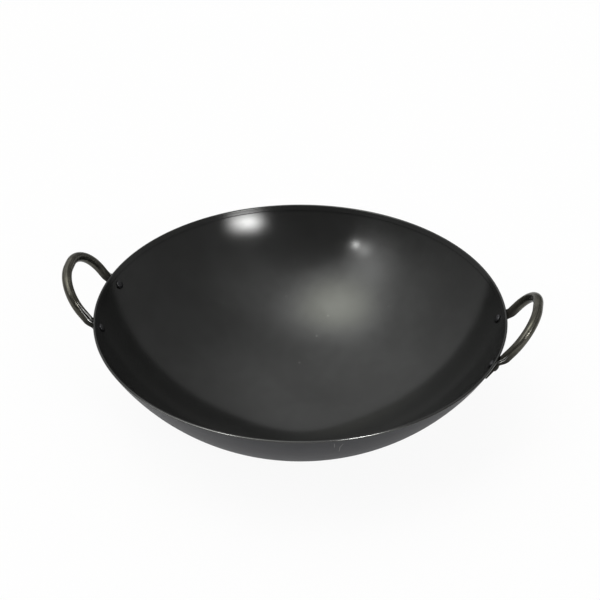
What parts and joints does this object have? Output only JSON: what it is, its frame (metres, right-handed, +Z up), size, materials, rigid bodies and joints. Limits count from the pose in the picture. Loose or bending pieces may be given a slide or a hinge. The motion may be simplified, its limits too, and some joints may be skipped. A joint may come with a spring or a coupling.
{
  "type": "wok",
  "caption": "Round-bottomed carbon-steel wok with a hemmed rim and riveted tubular loop handles, for stir-frying over a high flame.",
  "frame": {"origin": "centre of the small flat that the bowl rests on", "axes": "+Z up out of the bowl, +X towards the right handle, +Y to the back"},
  "size_m": [0.5883, 0.508, 0.1833],
  "materials": {
    "bowl_steel": "dark oiled carbon steel with a soft satin sheen, paler and scuffed outside",
    "handle_steel": "dark brownish-grey rolled steel with streaks along the tube and bright cut edges",
    "rivet_steel": "dark steel rivet with a worn dome"
  },
  "bodies": {
    "root": {"wok_bowl": "bowl_steel", "handle_left": "handle_steel", "handle_right": "handle_steel", "rivet_left_front": "rivet_steel", "rivet_left_back": "rivet_steel", "rivet_right_front": "rivet_steel", "rivet_right_back": "rivet_steel"}
  },
  "joints": []
}
